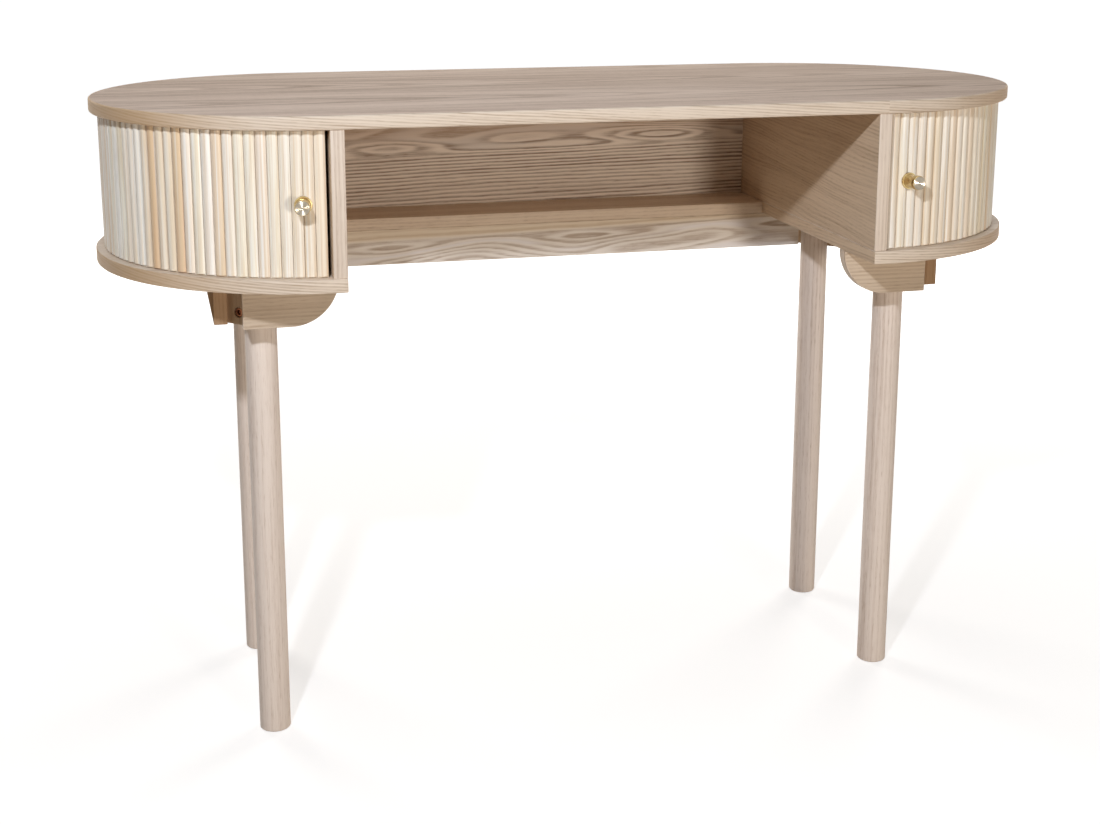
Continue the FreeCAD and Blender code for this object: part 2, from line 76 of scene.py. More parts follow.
class Value:
    """One socket of a node tree; sums written with it add Math nodes."""

    def __init__(self, nodes, socket):
        self.nodes = nodes
        self.socket = socket

    def sum(self, operation, *terms):
        return self.nodes.node("ShaderNodeMath", {"operation": operation}, dict(enumerate(terms)))

    def __add__(self, other):
        return self.sum("ADD", self, other)

    def __radd__(self, other):
        return self.sum("ADD", other, self)

    def __sub__(self, other):
        return self.sum("SUBTRACT", self, other)

    def __rsub__(self, other):
        return self.sum("SUBTRACT", other, self)

    def __mul__(self, other):
        return self.sum("MULTIPLY", self, other)

    def __rmul__(self, other):
        return self.sum("MULTIPLY", other, self)

    def __truediv__(self, other):
        return self.sum("DIVIDE", self, other)

    def __rtruediv__(self, other):
        return self.sum("DIVIDE", other, self)

    def fraction(self):
        return self.sum("FRACT", self)

    def floor(self):
        return self.sum("FLOOR", self)

    def sine(self):
        return self.sum("SINE", self)

    def sign(self):
        return self.sum("SIGN", self)

    def greater_of(self, other):
        return self.sum("MAXIMUM", self, other)

    def rise(self, low, high):
        """0 below low, 1 above high, smooth between."""
        span = {"Value": self, "From Min": low, "From Max": high}
        return self.nodes.node("ShaderNodeMapRange", {"interpolation_type": "SMOOTHSTEP"}, span)


class Nodes:
    """A node tree in the making: a finish, a run of like pieces or the room's light."""

    def __init__(self, tree):
        self.tree = tree
        tree.nodes.clear()

    def node(self, kind, settings=None, sockets=None, output=0):
        made = self.tree.nodes.new(kind)
        for key, setting in (settings or {}).items():
            if key == "stops":
                stops = made.color_ramp.elements
                while len(stops) < len(setting):
                    stops.new(1.0)
                for stop, (place, shade) in zip(stops, setting):
                    stop.position = place
                    stop.color = shade
            else:
                setattr(made, key, setting)
        for key, given in (sockets or {}).items():
            if isinstance(given, Value):
                self.tree.links.new(given.socket, made.inputs[key])
            else:
                made.inputs[key].default_value = given
        return Value(self, made.outputs[output]) if made.outputs else made


class Finish(Nodes):
    """A material in the making."""

    def __init__(self, name):
        self.material = bpy.data.materials.new(name)
        self.material.use_nodes = True
        super().__init__(self.material.node_tree)

    def scaled(self, place, scale):
        return self.node("ShaderNodeVectorMath", {"operation": "MULTIPLY"}, {0: place, 1: scale})

    def noise(self, place, scale, detail):
        sockets = {"Vector": self.scaled(place, scale), "Scale": 1.0, "Detail": detail}
        return self.node("ShaderNodeTexNoise", {"noise_dimensions": "3D"}, sockets)

    def chance(self, number):
        """A fixed random number from 0 to 1 for each whole number."""
        return self.node("ShaderNodeTexWhiteNoise", {"noise_dimensions": "1D"}, {"W": number})

    def blend(self, factor, first, second):
        return self.node("ShaderNodeMix", {"data_type": "RGBA"}, {0: factor, 6: first, 7: second}, output=2)

    def bump(self, height, strength, distance):
        sockets = {"Height": height, "Strength": strength, "Distance": distance}
        return self.node("ShaderNodeBump", None, sockets)

    def surface(self, sockets):
        shader = self.node("ShaderNodeBsdfPrincipled", None, sockets)
        self.node("ShaderNodeOutputMaterial", None, {"Surface": shader})
        return self.material


def solid_wood(finish):
    """Object coordinates in the order along, across and through a grain that stands upright."""
    place = finish.node("ShaderNodeTexCoord", output="Object")
    parts = [finish.node("ShaderNodeSeparateXYZ", None, {0: place}, output=axis) for axis in range(3)]
    across, through, along = parts
    return finish.node("ShaderNodeCombineXYZ", None, {0: along, 1: across, 2: through})


def oak(name, place_of, pale, dark, spacing, line=0.5, wander=1.0, heart=None, flame=None, streak=None,
        sap=None, ends=None, cloud=0.4, pore=0.3, fibre=0.35, base=0.08, leaf_width=0.0, sheen=0.25):
    """Limed oak: growth rings cut flat, each with its own strength, with fine fibre and short pores.
    pale and dark are its two tones, spacing the width of a ring, and wander how far the rings stray.
    line, cloud, fibre and pore: how dark rings, broad bands, strands and pores are; base: the tone below.
    leaf_width: how wide the veneer's leaves are, where a board takes more than one; sheen: how it shines.
    heart: middle of an arched figure across the grain, how fast it closes and how long its arches are.
    flame: where a restless figure starts across the grain, where it is full, and how many rings it moves.
    streak: where a ring full of lime lies across the grain, its width in rings, and its colour.
    sap: where a stripe of other colour starts across the grain, where it is full, and its colour.
    ends: painted shade, darker and warmer, towards both ends of the desk: how far from the middle it starts,
    where it is full, and its colour."""
    finish = Finish(name)
    place = place_of(finish)
    along = finish.node("ShaderNodeSeparateXYZ", None, {0: place}, output=0)
    across = finish.node("ShaderNodeSeparateXYZ", None, {0: place}, output=1)
    if leaf_width:
        leaf = (across / leaf_width).floor()
        along = along + finish.chance(leaf) * 4.0
        across = across - (leaf + 0.5) * leaf_width
        place = finish.node("ShaderNodeCombineXYZ", None, {0: along, 1: across, 2: leaf})
    drift = finish.noise(place, (1.3, 7.0, 7.0), 1.5) - 0.5
    ripple = finish.noise(place, (14.0, 60.0, 60.0), 2.0) - 0.5
    cut = across / spacing
    if heart:
        middle, closing, arch = heart
        reach = across - middle
        cut = reach * reach * closing + along / arch
    if flame:
        start, full, strength = flame
        restless = across.rise(start, full)
        figure = finish.noise(place, (3.4, 17.0, 17.0), 1.0) - 0.5
        cut = (across - (across - start) * restless * 0.6) / spacing + figure * restless * strength
    rings = cut + drift * (wander * 4.0) + ripple * 0.6
    phase = rings.fraction()
    strength = finish.chance(rings - phase) * 0.4 + 0.6
    early = phase.rise(0.0, 0.32) * (1.0 - phase.rise(0.36, 1.0))
    broken = finish.noise(place, (26.0, 620.0, 620.0), 2.0).rise(0.36, 0.62)
    ring_place = finish.node("ShaderNodeCombineXYZ", None, {0: along, 1: rings})
    bands = finish.noise(ring_place, (0.9, 0.22, 1.0), 2.0) - 0.5
    strands = finish.noise(place, (7.0, 330.0, 330.0), 3.0) - 0.5
    hairs = finish.noise(place, (36.0, 1300.0, 1300.0), 2.0) - 0.5
    pores = finish.noise(place, (80.0, 1900.0, 1900.0), 1.0).rise(0.57, 0.70) * (0.45 + early * 0.55)
    ring_shade = early * strength * (0.7 + broken * 0.3)
    shade = ring_shade * line + bands * (cloud * 2.0) + strands * (fibre * 1.8)
    shade = shade + hairs * fibre + pores * pore + base
    tint = finish.blend(shade.rise(-0.1, 1.1), pale, dark)
    if streak:
        middle, width, lime = streak
        aside = rings - middle / spacing
        patchy = finish.noise(place, (3.0, 40.0, 40.0), 2.0).rise(0.42, 0.60)
        tint = finish.blend(aside.rise(-width, 0.0) * (1.0 - aside.rise(0.0, width)) * patchy, tint, lime)
    if sap:
        start, full, other = sap
        tint = finish.blend(across.rise(start, full) * 0.6, tint, other)
    # Painted shade: the colour turns darker and warmer towards both ends of the desk, where less light
    # falls.
    if ends:
        start, full, other = ends
        from_middle = finish.node("ShaderNodeTexCoord", output="Object")
        aside = finish.node("ShaderNodeSeparateXYZ", None, {0: from_middle})
        tint = finish.blend((aside * aside).rise(start * start, full * full) * 0.75, tint, other)
    height = strands * 0.4 + hairs * 0.4 - pores * 0.9 - ring_shade * 0.3
    return finish.surface({
        "Base Color": tint,
        "Roughness": 0.5 + hairs * 0.25 + pores * 0.12,
        "Specular IOR Level": sheen,
        "Normal": finish.bump(height, 0.22, 0.0006),
    })


def make_piece(name, points, faces, finishes, smooth, finish_of=None, grain=None):
    """A named mesh object; smooth and finish_of hold one entry for each face, grain one for each corner."""
    mesh = bpy.data.meshes.new(name)
    mesh.from_pydata(points, [], faces)
    for finish in finishes:
        mesh.materials.append(finish)
    mesh.polygons.foreach_set("use_smooth", smooth)
    if finish_of:
        mesh.polygons.foreach_set("material_index", finish_of)
    if grain:
        corners = mesh.uv_layers.new(name="grain").uv
        corners.foreach_set("vector", [number for corner in grain for number in corner])
    mesh.set_sharp_from_angle(angle=SHARP_EDGE)
    mesh.update()
    piece = bpy.data.objects.new(name, mesh)
    bpy.context.scene.collection.objects.link(piece)
    return piece


def turned(name, profile, foot, axis, finish, segments):
    """Wood or metal turned on a lathe.
    The profile holds pairs of radius and reach along the axis, and starts and ends on the axis."""
    side = axis.orthogonal().normalized()
    other = axis.cross(side)
    points = []
    rings = []
    for radius, reach in profile:
        centre = foot + axis * reach
        if radius == 0:
            rings.append([len(points)])
            points.append(centre)
            continue
        rings.append(list(range(len(points), len(points) + segments)))
        for number in range(segments):
            bearing = math.tau * number / segments
            points.append(centre + (side * math.cos(bearing) + other * math.sin(bearing)) * radius)
    faces = []
    for low, high in zip(rings, rings[1:]):
        for number in range(segments):
            after = (number + 1) % segments
            if len(low) == 1:
                faces.append((low[0], high[after], high[number]))
            elif len(high) == 1:
                faces.append((low[number], low[after], high[0]))
            else:
                faces.append((low[number], low[after], high[after], high[number]))
    return make_piece(name, points, faces, [finish], [True] * len(faces))


leg_oak = oak(
    "leg oak", solid_wood, colour(245, 232, 222), colour(194, 171, 154),
    spacing=0.0052, line=0.2, wander=0.5, cloud=0.35, pore=0.4, fibre=0.6, base=0.05,
)
CORNERS = ("front_left", "front_right", "rear_left", "rear_right")
for corner in CORNERS:
    low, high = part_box(corner + "_leg")
    radius = (high.x - low.x) / 2
    profile = [(0, 0), (radius - FOOT_ROUND, 0)]
    for step in range(1, FOOT_STEPS + 1):
        bearing = math.pi / 2 * step / FOOT_STEPS
        profile.append((radius - FOOT_ROUND * (1 - math.sin(bearing)), FOOT_ROUND * (1 - math.cos(bearing))))
    profile += [(radius, high.z), (0, high.z)]
    foot = Vector(((low.x + high.x) / 2, (low.y + high.y) / 2, 0))
    leg = turned(corner + "_post", profile, foot, Vector((0, 0, 1)), leg_oak, LEG_SEGMENTS)
    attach(leg, "carcass")
    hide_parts(corner + "_leg")

# Corner blocks: short lengths of solid oak set at 45 degrees across each frame corner.
# They are drilled and counterbored for the leg bolts, and their faces are left as sawn and sanded.
block_oak = oak(
    "corner block oak", solid_wood, colour(208, 182, 152), colour(164, 132, 102),
    spacing=0.0045, line=0.3, wander=0.5, cloud=0.3, pore=0.35, fibre=0.45,
)


def dress(node, finish):
    """Give a new finish to a solid that keeps its shape."""
    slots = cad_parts[node].data.materials
    slots.clear()
    slots.append(finish)


for corner in CORNERS:
    dress(corner + "_corner_block", block_oak)

# Leg bolts: socket-head bolts of bronzed steel, two to a leg, sunk in the corner blocks.
# One bolt is turned in mesh code, and a node tree sets it at each corner on two levels.
BOLT_HEAD_RADIUS = 0.005
BOLT_HEAD_HEIGHT = 0.006
BOLT_SHANK_RADIUS = 0.003
BOLT_SOCKET_ACROSS = 0.005
BOLT_SOCKET_DEPTH = 0.0035
BOLT_SHANK_CHAMFER = 0.0004
BOLT_HEAD_CHAMFER = 0.0006
BOLT_HEAD_ROUND = 0.0002
BOLT_SOCKET_CHAMFER = 0.0003
BOLT_DRILL_POINT = 0.0008
BOLT_SEAT = 0.0291
BOLT_END = 0.0028
BOLT_LEVELS = (0.5125, 0.5395)
BOLT_SEGMENTS = 36
TOOL_LINES = 900.0


def metal(name, pale, deep, roughness):
    """Worked metal: fine tool lines, a little tarnish and uneven polish."""
    finish = Finish(name)
    place = finish.node("ShaderNodeTexCoord", output="Object")
    tarnish = finish.noise(place, (160.0, 160.0, 160.0), 3.0)
    lines = finish.noise(place, (TOOL_LINES, TOOL_LINES, TOOL_LINES * 3), 2.0)
    return finish.surface({
        "Base Color": finish.blend(tarnish.rise(0.35, 0.75), pale, deep),
        "Metallic": 1.0,
        "Roughness": roughness + (lines - 0.5) * 0.12 + (tarnish - 0.5) * 0.12,
        "Normal": finish.bump(lines, 0.05, 0.0001),
    })


def settle(piece, modifier):
    """Keep a modifier's result as the piece's plain mesh and take the modifier off."""
    evaluated = piece.evaluated_get(bpy.context.evaluated_depsgraph_get())
    result = bpy.data.meshes.new_from_object(evaluated)
    piece.modifiers.remove(modifier)
    piece.data = result


class Run(Nodes):
    """A geometry node tree that lays out copies of one pattern by named sizes."""

    def __init__(self, name, sizes):
        super().__init__(bpy.data.node_groups.new(name, "GeometryNodeTree"))
        sockets = self.tree.interface
        sockets.new_socket("Pattern", in_out="INPUT", socket_type="NodeSocketGeometry")
        for label, kind in sizes:
            sockets.new_socket(label, in_out="INPUT", socket_type="NodeSocket" + kind)
        sockets.new_socket("Run", in_out="OUTPUT", socket_type="NodeSocketGeometry")

    def given(self, label):
        return self.node("NodeGroupInput", output=label)

    def copies(self, count, spot, bearing):
        """So many copies of the pattern, each at its spot and turned about the upright axis."""
        turn = self.node("ShaderNodeCombineXYZ", None, {2: bearing})
        return self.node("GeometryNodeInstanceOnPoints", None, {
            "Points": self.node("GeometryNodePoints", None, {"Count": count, "Position": spot}),
            "Instance": self.given("Pattern"),
            "Rotation": self.node("FunctionNodeEulerToRotation", None, {0: turn}),
        })

    def end(self, copies, finish):
        """Real geometry in one finish at the end of the tree."""
        real = self.node("GeometryNodeRealizeInstances", None, {0: copies})
        dressed = self.node("GeometryNodeSetMaterial", None, {"Geometry": real, "Material": finish})
        self.node("NodeGroupOutput", None, {0: dressed})

    def lay(self, piece, sizes):
        """Run the tree on a piece that holds the pattern."""
        modifier = piece.modifiers.new(self.tree.name, "NODES")
        modifier.node_group = self.tree
        for socket in self.tree.interface.items_tree:
            if socket.in_out == "INPUT" and socket.name in sizes:
                modifier[socket.identifier] = sizes[socket.name]
        settle(piece, modifier)


bolt_metal = metal("bronzed steel", colour(150, 96, 66), colour(98, 56, 36), 0.36)
socket_radius = BOLT_SOCKET_ACROSS / math.sqrt(3)
head_end = BOLT_SEAT + BOLT_HEAD_HEIGHT
bolt_profile = [
    (0, BOLT_END),
    (BOLT_SHANK_RADIUS - BOLT_SHANK_CHAMFER, BOLT_END),
    (BOLT_SHANK_RADIUS, BOLT_END + BOLT_SHANK_CHAMFER),
    (BOLT_SHANK_RADIUS, BOLT_SEAT),
    (BOLT_HEAD_RADIUS, BOLT_SEAT),
    (BOLT_HEAD_RADIUS, head_end - BOLT_HEAD_CHAMFER),
    (BOLT_HEAD_RADIUS - BOLT_HEAD_ROUND, head_end - BOLT_HEAD_ROUND),
    (BOLT_HEAD_RADIUS - BOLT_HEAD_CHAMFER, head_end),
    (socket_radius + BOLT_SOCKET_CHAMFER, head_end),
    (socket_radius, head_end - BOLT_SOCKET_CHAMFER),
    (socket_radius, head_end - BOLT_SOCKET_DEPTH),
    (0, head_end - BOLT_SOCKET_DEPTH - BOLT_DRILL_POINT),
]
leg_low, leg_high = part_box("front_right_leg")
leg_x = (leg_low.x + leg_high.x) / 2
leg_y = -(leg_low.y + leg_high.y) / 2

bolt_run = Run("bolts at the corners", [
    ("Leg across", "Float"), ("Leg along", "Float"), ("Lower level", "Float"), ("Level step", "Float"),
    ("Metal", "Material"),
])
number = bolt_run.node("GeometryNodeInputIndex")
quarter = (number / 2.0).floor()
level = number - quarter * 2.0
bearing = quarter * (math.pi / 2) + math.pi / 4
east = (bearing + math.pi / 2).sine().sign()
north = bearing.sine().sign()
spot = bolt_run.node("ShaderNodeCombineXYZ", None, {
    0: east * bolt_run.given("Leg along"),
    1: north * bolt_run.given("Leg across"),
    2: level * bolt_run.given("Level step") + bolt_run.given("Lower level"),
})
copies = bolt_run.copies(len(CORNERS) * len(BOLT_LEVELS), spot, bearing)
bolt_run.end(copies, bolt_run.given("Metal"))

bolts = turned("corner_bolts", bolt_profile, Vector((0, 0, 0)), Vector((1, 0, 0)), bolt_metal, BOLT_SEGMENTS)
bolt_run.lay(bolts, {
    "Leg across": leg_y, "Leg along": leg_x, "Lower level": BOLT_LEVELS[0],
    "Level step": BOLT_LEVELS[1] - BOLT_LEVELS[0], "Metal": bolt_metal,
})
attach(bolts, "carcass")
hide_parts("leg_bolts")

# Brackets: boards on edge under the pods, one towards the front and one towards the rear of each.
# Oak veneer over board, with the lower inner corner sawn to a quarter round and edge-banded.
BRACKET_EASE = 0.0008
ARC_STEPS = 20
EASE_STEPS = 3
CORNER_STEPS = 2
CURVE_OPENING = math.radians(150)
LEAST_MITRE = 0.3
LONGEST_FACET = 0.02
LEAF_STRIDE = 7


def veneer(finish):
    """The run of the grain that a board carries as a map: along the grain, then across it."""
    return finish.node("ShaderNodeUVMap", {"uv_map": "grain"})


def slanted(finish, slope):
    """The same map with the grain running off at a slight angle."""
    place = veneer(finish)
    return finish.node("ShaderNodeMapping", None, {"Vector": place, "Rotation": (0.0, 0.0, slope)})


def eased(corners, radius):
    """An outline with its sharp corners rounded a little; points on curves stay."""
    outline = []
    for number, corner in enumerate(corners):
        here = Vector(corner)
        before = Vector(corners[number - 1]) - here
        after = Vector(corners[(number + 1) % len(corners)]) - here
        opening = before.angle(after)
        if opening > CURVE_OPENING:
            outline.append(here)
            continue
        reach = radius / math.tan(opening / 2)
        first = here + before.normalized() * reach
        last = here + after.normalized() * reach
        halfway = (before.normalized() + after.normalized()).normalized()
        centre = here + halfway * (radius / math.sin(opening / 2))
        for step in range(CORNER_STEPS + 1):
            chord = first.lerp(last, step / CORNER_STEPS) - centre
            outline.append(centre + chord.normalized() * radius)
    return outline


def inset(outline, amount):
    """The outline moved inwards; it runs anticlockwise."""
    moved = []
    for number, here in enumerate(outline):
        coming = (here - outline[number - 1]).normalized()
        going = (outline[(number + 1) % len(outline)] - here).normalized()
        middle = (coming + going).normalized()
        inward = Vector((-middle.y, middle.x))
        moved.append(here + inward * (amount / max(middle.dot(coming), LEAST_MITRE)))
    return moved


def facing_front(a, b, c):
    return Vector((a, -c, b))


def board(name, outline, place, low, high, ease, face_finish, edge_finish, leaf=0.0):
    """A veneered board: an outline with eased edges, its grain mapped along the faces and round the edges.
    place turns the outline and the levels low and high the way the board lies; leaf shifts its figure."""
    layers = []
    for step in range(EASE_STEPS + 1):
        bearing = math.pi / 2 * step / EASE_STEPS
        layers.append((ease * (1 - math.sin(bearing)), low + ease * (1 - math.cos(bearing))))
    layers += [(sunk, high + low - level) for sunk, level in reversed(layers)]
    count = len(outline)
    run = [0.0]
    for number in range(count):
        run.append(run[-1] + (outline[(number + 1) % count] - outline[number]).length)
    points = []
    for sunk, level in layers:
        points += [place(spot.x, spot.y, level) for spot in (inset(outline, sunk) if sunk else outline)]
    faces = []
    grain = []
    smooth = []
    for layer in range(len(layers) - 1):
        wall = layer == EASE_STEPS
        for number in range(count):
            after = (number + 1) % count
            first = layer * count
            second = first + count
            faces.append((first + number, first + after, second + after, second + number))
            lower = layers[layer][1] + leaf
            upper = layers[layer + 1][1] + leaf
            start = run[number] + leaf * LEAF_STRIDE
            end = run[number + 1] + leaf * LEAF_STRIDE
            grain += [(start, lower), (end, lower), (end, upper), (start, upper)]
            smooth.append(not wall or run[number + 1] - run[number] < LONGEST_FACET)
    edge_faces = len(faces)
    for first, order in ((0, range(count - 1, -1, -1)), ((len(layers) - 1) * count, range(count))):
        faces.append([first + number for number in order])
        smooth.append(False)
        for number in order:
            spot = outline[number]
            grain.append((spot.x + leaf * LEAF_STRIDE, spot.y + leaf))
    finish_of = [1] * edge_faces + [0, 0]
    return make_piece(name, points, faces, [face_finish, edge_finish], smooth, finish_of, grain)


bracket_oak = oak(
    "bracket oak", veneer, colour(214, 196, 175), colour(168, 142, 117),
    spacing=0.0045, line=0.45, wander=0.6, cloud=0.3, pore=0.35, fibre=0.6, base=0.03,
)
# The edge band carries a painted shade, darker and warmer towards both ends of the desk.
edge_oak = oak(
    "oak edge band", lambda finish: slanted(finish, 0.07), colour(233, 218, 201), colour(170, 144, 117),
    spacing=0.0031, line=0.65, wander=0.6, ends=(0.36, 0.54, colour(206, 168, 122)), cloud=0.35,
    fibre=0.6, base=-0.03,
)
for number, corner in enumerate(CORNERS):
    low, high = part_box(corner + "_bracket")
    inner = min(abs(low.x), abs(high.x))
    outer = max(abs(low.x), abs(high.x))
    tall = high.z - low.z
    corners = [(outer, low.z), (outer, high.z), (inner, high.z)]
    for step in range(1, ARC_STEPS + 1):
        bearing = math.pi / 2 * step / ARC_STEPS
        corners.append((inner + tall * (1 - math.cos(bearing)), high.z - tall * math.sin(bearing)))
    if low.x < 0:
        corners = [(-a, b) for a, b in reversed(corners)]
    outline = eased(corners, BRACKET_EASE)
    bracket = board(
        corner + "_apron", outline, facing_front, -high.y, -low.y, BRACKET_EASE, bracket_oak, edge_oak,
        leaf=0.31 + 0.17 * number,
    )
    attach(bracket, "carcass")
    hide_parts(corner + "_bracket")

# Side rails: boards on edge across the desk under each pod, dowelled up into the pod bottom.
# The corner blocks butt against their inner faces.
HANDS = ("left", "right")
RAIL_EASE = 0.0008
CORNER_SHARE = 1.3


def facing_side(a, b, c):
    return Vector((c, a, b))


def rectangle(low_a, low_b, high_a, high_b, ease):
    """A straight board's outline, its corners a little rounder than its edges."""
    corners = [(low_a, low_b), (high_a, low_b), (high_a, high_b), (low_a, high_b)]
    return eased(corners, ease * CORNER_SHARE)


# The rails' oak is painted darker than the other boards, a painted shade for their place under the pods.
shaded_rail_oak = oak(
    "side rail oak", veneer, colour(180, 149, 119), colour(138, 106, 78),
    spacing=0.0045, line=0.3, wander=0.6, cloud=0.3, pore=0.35, fibre=0.4, sheen=0.0,
)
for number, hand in enumerate(HANDS):
    low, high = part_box(hand + "_side_rail")
    outline = rectangle(low.y, low.z, high.y, high.z, RAIL_EASE)
    rail = board(
        hand + "_cross_rail", outline, facing_side, low.x, high.x, RAIL_EASE, shaded_rail_oak, shaded_rail_oak,
        leaf=0.93 + 0.21 * number,
    )
    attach(rail, "carcass")
    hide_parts(hand + "_side_rail")

# Stretcher rail: a board on edge under the front of the ledge, from pod to pod, with flamed oak veneer.
# It is dowelled up into the ledge and the pod bottoms and stiffens the desk along its length.
low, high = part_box("stretcher_rail")
tall = high.z - low.z
stretcher_oak = oak(
    "stretcher oak", lambda finish: slanted(finish, -0.02), colour(246, 239, 231), colour(175, 153, 134),
    spacing=0.007, line=0.75, wander=0.9, flame=(low.z + 0.75 * tall, low.z + 0.5 * tall, 15.0),
    streak=(low.z + 0.58 * tall, 0.8, colour(248, 243, 242)),
    sap=(low.z + 0.7 * tall, low.z + 0.85 * tall, colour(226, 205, 174)),
    pore=0.25, base=0.0,
)
stretcher = board(
    "front_stretcher", rectangle(low.x, low.z, high.x, high.z, RAIL_EASE), facing_front, -high.y, -low.y,
    RAIL_EASE, stretcher_oak, edge_oak,
)
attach(stretcher, "carcass")
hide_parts("stretcher_rail")

# Pod bottoms: half-round boards under the ends, veneered on both faces and the inner side.
# The curve is banded. A groove in the upper face guides the slats, and a shallower one outside it holds
# the bent shell.
SIDES = (("left", -1), ("right", 1))
low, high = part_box("right_pod_bottom")
END_RADIUS = (high.y - low.y) / 2
ARC_X = high.x - END_RADIUS
END_STEPS = 96
POD_EASE = 0.0009
TONGUE_RADII = (0.2327, 0.2367)
TONGUE_PLAY = 0.0004
SHELL_RADII = (0.2424, 0.2464)
SHELL_PLAY = 0.0002
SLAT_GROOVE = (TONGUE_RADII[0] - TONGUE_PLAY, TONGUE_RADII[1] + TONGUE_PLAY)
SHELL_GROOVE = (SHELL_RADII[0] - SHELL_PLAY, SHELL_RADII[1] + SHELL_PLAY)
SLAT_GROOVE_ANGLES = (2.02, 178.41)
SHELL_GROOVE_ANGLES = (101.1, 178.8)
SLAT_GROOVE_DEPTH = 0.006
SHELL_GROOVE_DEPTH = 0.003
OVERCUT = 0.002
INNER_SIDE = -0.9


def lying(a, b, c):
    return Vector((a, b, c))


def on_arc(radius, degrees, hand=1):
    """A point of a pod's plan, turned from the front of its arc towards the end of the desk."""
    bearing = math.radians(degrees)
    return Vector((hand * (ARC_X + radius * math.sin(bearing)), -radius * math.cos(bearing)))


def ring_outline(inner, outer, start, end, steps, hand):
    """The plan of a strip bent round a pod's arc, between two radii and two angles."""
    degrees = [start + (end - start) * step / steps for step in range(steps + 1)]
    outline = [on_arc(outer, turn, hand) for turn in degrees]
    outline += [on_arc(inner, turn, hand) for turn in reversed(degrees)]
    return outline if hand > 0 else outline[::-1]


def cut_groove(piece, outline, low, high, finish):
    """Cut a groove with the given plan out of a board."""
    cutter = board("groove_cutter", outline, lying, low, high, 0.0, finish, finish)
    cutter.data.polygons.foreach_set("use_smooth", [False] * len(cutter.data.polygons))
    modifier = piece.modifiers.new("groove", "BOOLEAN")
    modifier.operation = "DIFFERENCE"
    modifier.solver = "EXACT"
    modifier.object = cutter
    settle(piece, modifier)
    bpy.data.objects.remove(cutter)


def cut_pod_grooves(piece, hand, level, into, finish):
    """Both grooves of one pod in a board whose face lies at this level, cut down (-1) or up (1)."""
    for radii, angles, depth in (
        (SLAT_GROOVE, SLAT_GROOVE_ANGLES, SLAT_GROOVE_DEPTH),
        (SHELL_GROOVE, SHELL_GROOVE_ANGLES, SHELL_GROOVE_DEPTH),
    ):
        outline = ring_outline(*radii, *angles, END_STEPS, hand)
        ends = sorted((level - into * OVERCUT, level + into * depth))
        cut_groove(piece, outline, *ends, finish)


pod_oak = oak(
    "pod bottom oak", veneer, colour(232, 216, 198), colour(186, 160, 134),
    spacing=0.005, line=0.4, wander=0.6, heart=(0.0, 1500.0, 0.14), cloud=0.35, leaf_width=0.17,
)
inner_oak = oak(
    "inner side oak", lambda finish: slanted(finish, -0.03), colour(219, 196, 169), colour(158, 130, 103),
    spacing=0.0018, line=0.28, flame=(-2.0, -1.0, 7.0), cloud=0.45, pore=0.35, fibre=0.5,
)
for number, (hand, sign) in enumerate(SIDES):
    low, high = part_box(hand + "_pod_bottom")
    inner = min(abs(low.x), abs(high.x))
    corners = [(inner, END_RADIUS), (inner, -END_RADIUS)]
    corners += [tuple(on_arc(END_RADIUS, 180 * step / END_STEPS)) for step in range(END_STEPS + 1)]
    if sign < 0:
        corners = [(-a, b) for a, b in reversed(corners)]
    pod = board(
        hand + "_pod_floor", eased(corners, POD_EASE), lying, low.z, high.z, POD_EASE, pod_oak, edge_oak,
        leaf=0.57 + 0.33 * number,
    )
    pod.data.materials.append(inner_oak)
    for face in pod.data.polygons:
        if face.normal.x * sign < INNER_SIDE:
            face.material_index = 2
    cut_pod_grooves(pod, sign, high.z, -1, pod_oak)
    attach(pod, "carcass")
    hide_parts(hand + "_pod_bottom")

# Dividers: upright veneered boards that close the pods towards the middle.
# They are dowelled between pod bottom and top, and their front edges show as a pale band beside the doors.
post_oak = oak(
    "divider edge band", veneer, colour(236, 221, 206), colour(184, 161, 140),
    spacing=0.0046, line=0.35, wander=0.4, cloud=0.35, pore=0.25, fibre=0.5,
)
for number, hand in enumerate(HANDS):
    low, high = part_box(hand + "_divider")
    outline = rectangle(low.y, low.z, high.y, high.z, POD_EASE)
    divider = board(
        hand + "_partition", outline, facing_side, low.x, high.x, POD_EASE, inner_oak, post_oak,
        leaf=0.23 + 0.41 * number,
    )
    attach(divider, "carcass")
    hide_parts(hand + "_divider")

# Ledge: a narrow shelf of oak veneer over board along the rear of the bay.
# It lies level with the pod bottoms and is dowelled between them.
ledge_oak = oak(
    "ledge oak", veneer, colour(226, 207, 186), colour(170, 143, 119),
    spacing=0.0046, line=0.35, wander=0.7, pore=0.45, fibre=0.4,
)
low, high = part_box("shelf")
ledge = board(
    "rear_ledge", rectangle(low.x, low.y, high.x, high.y, RAIL_EASE), lying, low.z, high.z,
    RAIL_EASE, ledge_oak, ledge_oak, leaf=0.71,
)
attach(ledge, "carcass")
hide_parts("shelf")

# Back panel: one board behind the bay, with the boldest veneer on the desk: wavy lines under flamed arches.
# It stands on the rear of the ledge and is dowelled between the dividers.
low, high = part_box("back_panel")
tall = high.z - low.z
panel_oak = oak(
    "back panel oak", lambda finish: slanted(finish, -0.02), colour(236, 222, 208), colour(124, 99, 80),
    spacing=0.0048, line=0.95, wander=1.3, flame=(low.z + 0.42 * tall, low.z + 0.53 * tall, 20.0),
    streak=(low.z + 0.47 * tall, 0.8, colour(222, 212, 203)),
    sap=(low.z + 0.45 * tall, low.z + 0.7 * tall, colour(184, 154, 128)),
    cloud=0.25, pore=0.25, base=0.0,
)
panel = board(
    "bay_back", rectangle(low.x, low.z, high.x, high.z, RAIL_EASE), facing_front, -high.y, -low.y,
    RAIL_EASE, panel_oak, edge_oak,
)
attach(panel, "carcass")
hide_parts("back_panel")

